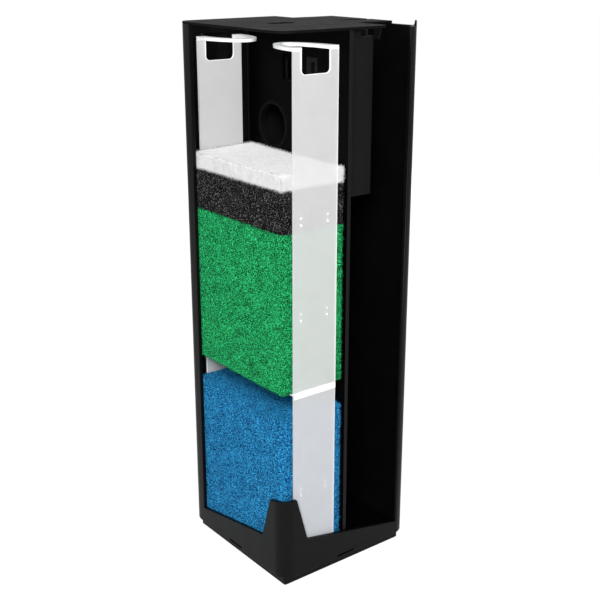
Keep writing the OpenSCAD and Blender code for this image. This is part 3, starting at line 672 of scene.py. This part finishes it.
def foam_piece(node, voxel, pore, relief, seed, strands, rim=0.0, swell=0.0):
    """Cut foam, sized in mm: a finely remeshed block whose pores go in and struts come out."""
    form = clean_copy(node)
    if rim:
        soften_rims(form, rim * MM)
    piece = new_piece(node + "_cut", mesh_from(form, node + "_cut"))
    remesh = piece.modifiers.new("fine_skin", "REMESH")
    remesh.mode = "VOXEL"
    remesh.voxel_size = voxel * MM
    depsgraph = bpy.context.evaluated_depsgraph_get()
    fine = bpy.data.meshes.new_from_object(piece.evaluated_get(depsgraph))
    piece.modifiers.clear()
    piece.data = fine
    count = len(fine.vertices)
    place = np.empty(count * 3)
    normal = np.empty(count * 3)
    fine.vertices.foreach_get("co", place)
    fine.vertices.foreach_get("normal", normal)
    place, normal = place.reshape(-1, 3), normal.reshape(-1, 3)

    # struts run where two pores are equally near, and wide lumps lie under them
    first, second = cell_noise(place, pore * MM, seed)
    strut = 1.0 - np.clip((second - first) / 0.35, 0.0, 1.0)
    lump, _ = cell_noise(place, LUMP_SIZE, seed + 7)
    height = (strut - 0.75) * relief + (0.5 - lump) * 0.25
    place += normal * (height * MM)[:, None]

    # the top swells towards the corner between the divider and the back
    corner = np.hypot(place[:, 0] - place[:, 0].max(), place[:, 1] - place[:, 1].max())
    place[:, 2] += swell * MM * np.exp(-(corner / SWELL_REACH) ** 2) * (normal[:, 2] > 0.2)
    fine.vertices.foreach_set("co", place.ravel())

    # the struts' height, which the foam finish turns into painted shade in the pores
    tone = fine.attributes.new("pore_depth", "FLOAT", "POINT")
    tone.data.foreach_set("value", strut.astype(np.float32))
    fray_edges(fine, place, normal, *strands, seed)
    for face in fine.polygons:
        face.use_smooth = True
    fine.update()
    dress(piece, NODE_SLOT[node])
    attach(piece, NODE_BODY[node])
    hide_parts(node)


# ---------------------------------------------------------------- build

# each moulded solid with the width of its rounded edges in mm
MOULDED = {
    "case_shell": 0.4, "base_plate": 0.4, "divider_wall": 0.3, "lid": 0.35,
    "carrier_front_strap": 0.2, "carrier_rear_strap": 0.2,
    "carrier_shelf": 0.2, "carrier_floor": 0.2,
    "pump_box": 0.3, "pump_body": 0.4, "pump_cover": 0.25, "impeller": 0.15, "flow_gate": 0.25,
    "outlet_tail": 0.2, "cable_gland": 0.2, "pump_feet": 0.15, "port_grommet": 0.3,
}
# solids whose own finish differs from that of their slot's other members: the shelf and floor take
# the rim white, a painted highlight, and the divider a darker black, a painted shade
OWN_FINISH = {
    "carrier_shelf": "carrier_edge", "carrier_floor": "carrier_edge",
    "divider_wall": "painted_shade_plastic", "pump_box": "box_and_lit_edge_plastic",
}
INNER_FLOOR = 8.6 * MM          # the base plate's faces above this lie inside the case
DISC_BACK = 2.0 * MM            # the impeller's disc ends this far past the motor block
MAGNET_END = 4.9 * MM           # and its magnet this far before the disc's back

moulded = {name: moulded_piece(name, edge) for name, edge in MOULDED.items()}
for name, finish in OWN_FINISH.items():
    moulded[name].data.materials[0] = FINISHES[finish]
for name in nodes:
    if name not in MOULDED:
        dress(nodes[name], NODE_SLOT[name])

finish_strap(moulded["carrier_front_strap"])
finish_strap(moulded["carrier_rear_strap"])
moulded["lid"].visible_shadow = False

# painted light: the divider's outward front edge takes the lighter black, while its inner faces
# keep the painted shade
front_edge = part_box("divider_wall")[0][1] + 0.5 * MM
finish_part(moulded["divider_wall"], "box_and_lit_edge_plastic", lambda place: place.y < front_edge)
# painted shade: the base plate's faces inside the case take the darker black
finish_part(moulded["base_plate"], "painted_shade_plastic", lambda place: place.z > INNER_FLOOR)
magnet_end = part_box("pump_body")[1][1] + DISC_BACK - MAGNET_END
finish_part(moulded["impeller"], "magnet_ferrite", lambda place: place.y < magnet_end)

# strands are (how many, longest, thickest)
foam_piece("green_foam", voxel=0.82, pore=1.8, relief=1.0, seed=11,
           strands=(2200, 1.8, 0.36))
foam_piece("blue_foam", voxel=0.82, pore=1.8, relief=1.0, seed=23,
           strands=(2200, 1.8, 0.36), rim=0.8)
foam_piece("black_foam", voxel=0.75, pore=1.7, relief=1.1, seed=37,
           strands=(2400, 2.0, 0.32))
foam_piece("white_pad", voxel=0.7, pore=1.2, relief=0.5, seed=41,
           strands=(4200, 2.4, 0.24), rim=1.5, swell=1.3)


# ---------------------------------------------------------------- floor, light

FLOOR_GLOW = 1.05           # what the camera sees of the floor
FLOOR_GLOW_SHARE = 0.95     # the rest is its matt face, which takes faint shadows
WORLD_LEVEL = 0.18          # light from all round; the camera and mirrors see full white


def empty_tree(owner):
    """The node tree of a material or world, without its first nodes."""
    owner.use_nodes = True
    owner.node_tree.nodes.clear()
    return owner.node_tree


def make_floor():
    form = bmesh.new()
    bmesh.ops.create_grid(form, x_segments=1, y_segments=1, size=6.0)
    floor = new_piece("floor", mesh_from(form, "floor"))
    material = bpy.data.materials.new("pale_floor")
    tree = empty_tree(material)
    out = tree.nodes.new("ShaderNodeOutputMaterial")
    matte = tree.nodes.new("ShaderNodeBsdfDiffuse")
    matte.inputs["Color"].default_value = (0.8, 0.8, 0.8, 1.0)
    glow = tree.nodes.new("ShaderNodeEmission")
    glow.inputs["Color"].default_value = WHITE
    glow.inputs["Strength"].default_value = FLOOR_GLOW
    seen = tree.nodes.new("ShaderNodeLightPath")
    share = tree.nodes.new("ShaderNodeMath")
    share.operation = "MULTIPLY"
    share.inputs[1].default_value = FLOOR_GLOW_SHARE
    blend = tree.nodes.new("ShaderNodeMixShader")
    tree.links.new(seen.outputs["Is Camera Ray"], share.inputs[0])
    tree.links.new(share.outputs[0], blend.inputs["Fac"])
    tree.links.new(matte.outputs[0], blend.inputs[1])
    tree.links.new(glow.outputs[0], blend.inputs[2])
    tree.links.new(blend.outputs[0], out.inputs["Surface"])
    floor.data.materials.append(material)


def make_world():
    world = bpy.data.worlds.new("studio")
    scene.world = world
    tree = empty_tree(world)
    out = tree.nodes.new("ShaderNodeOutputWorld")
    sky = tree.nodes.new("ShaderNodeBackground")
    sky.inputs["Color"].default_value = WHITE
    seen = tree.nodes.new("ShaderNodeLightPath")
    bright = seen.outputs["Is Camera Ray"]
    for ray in ("Is Glossy Ray", "Is Transmission Ray"):
        either = tree.nodes.new("ShaderNodeMath")
        either.operation = "MAXIMUM"
        tree.links.new(bright, either.inputs[0])
        tree.links.new(seen.outputs[ray], either.inputs[1])
        bright = either.outputs[0]
    strength = tree.nodes.new("ShaderNodeMapRange")
    strength.inputs["To Min"].default_value = WORLD_LEVEL
    strength.inputs["To Max"].default_value = 1.0
    tree.links.new(bright, strength.inputs["Value"])
    tree.links.new(strength.outputs["Result"], sky.inputs["Strength"])
    tree.links.new(sky.outputs[0], out.inputs["Surface"])


def make_lamp(name, place, target, size, power):
    data = bpy.data.lights.new(name, "AREA")
    data.shape = "SQUARE"
    data.size = size
    data.energy = power
    lamp = bpy.data.objects.new(name, data)
    lamp.location = place
    aim = Vector(target) - Vector(place)
    lamp.rotation_euler = aim.to_track_quat("-Z", "Y").to_euler()
    scene.collection.objects.link(lamp)


make_floor()
make_world()
make_lamp("front_softbox", (-1.16, -1.29, 1.19), (0.0, 0.0, 0.24), size=0.62, power=37.0)
make_lamp("high_softbox", (-1.02, -1.11, 1.75), (0.0, 0.0, 0.24), size=0.62, power=18.0)
make_lamp("back_softbox", (1.05, 1.2, 0.22), (0.0, 0.0, 0.2), size=0.3, power=16.0)
scene.view_settings.view_transform = "Standard"
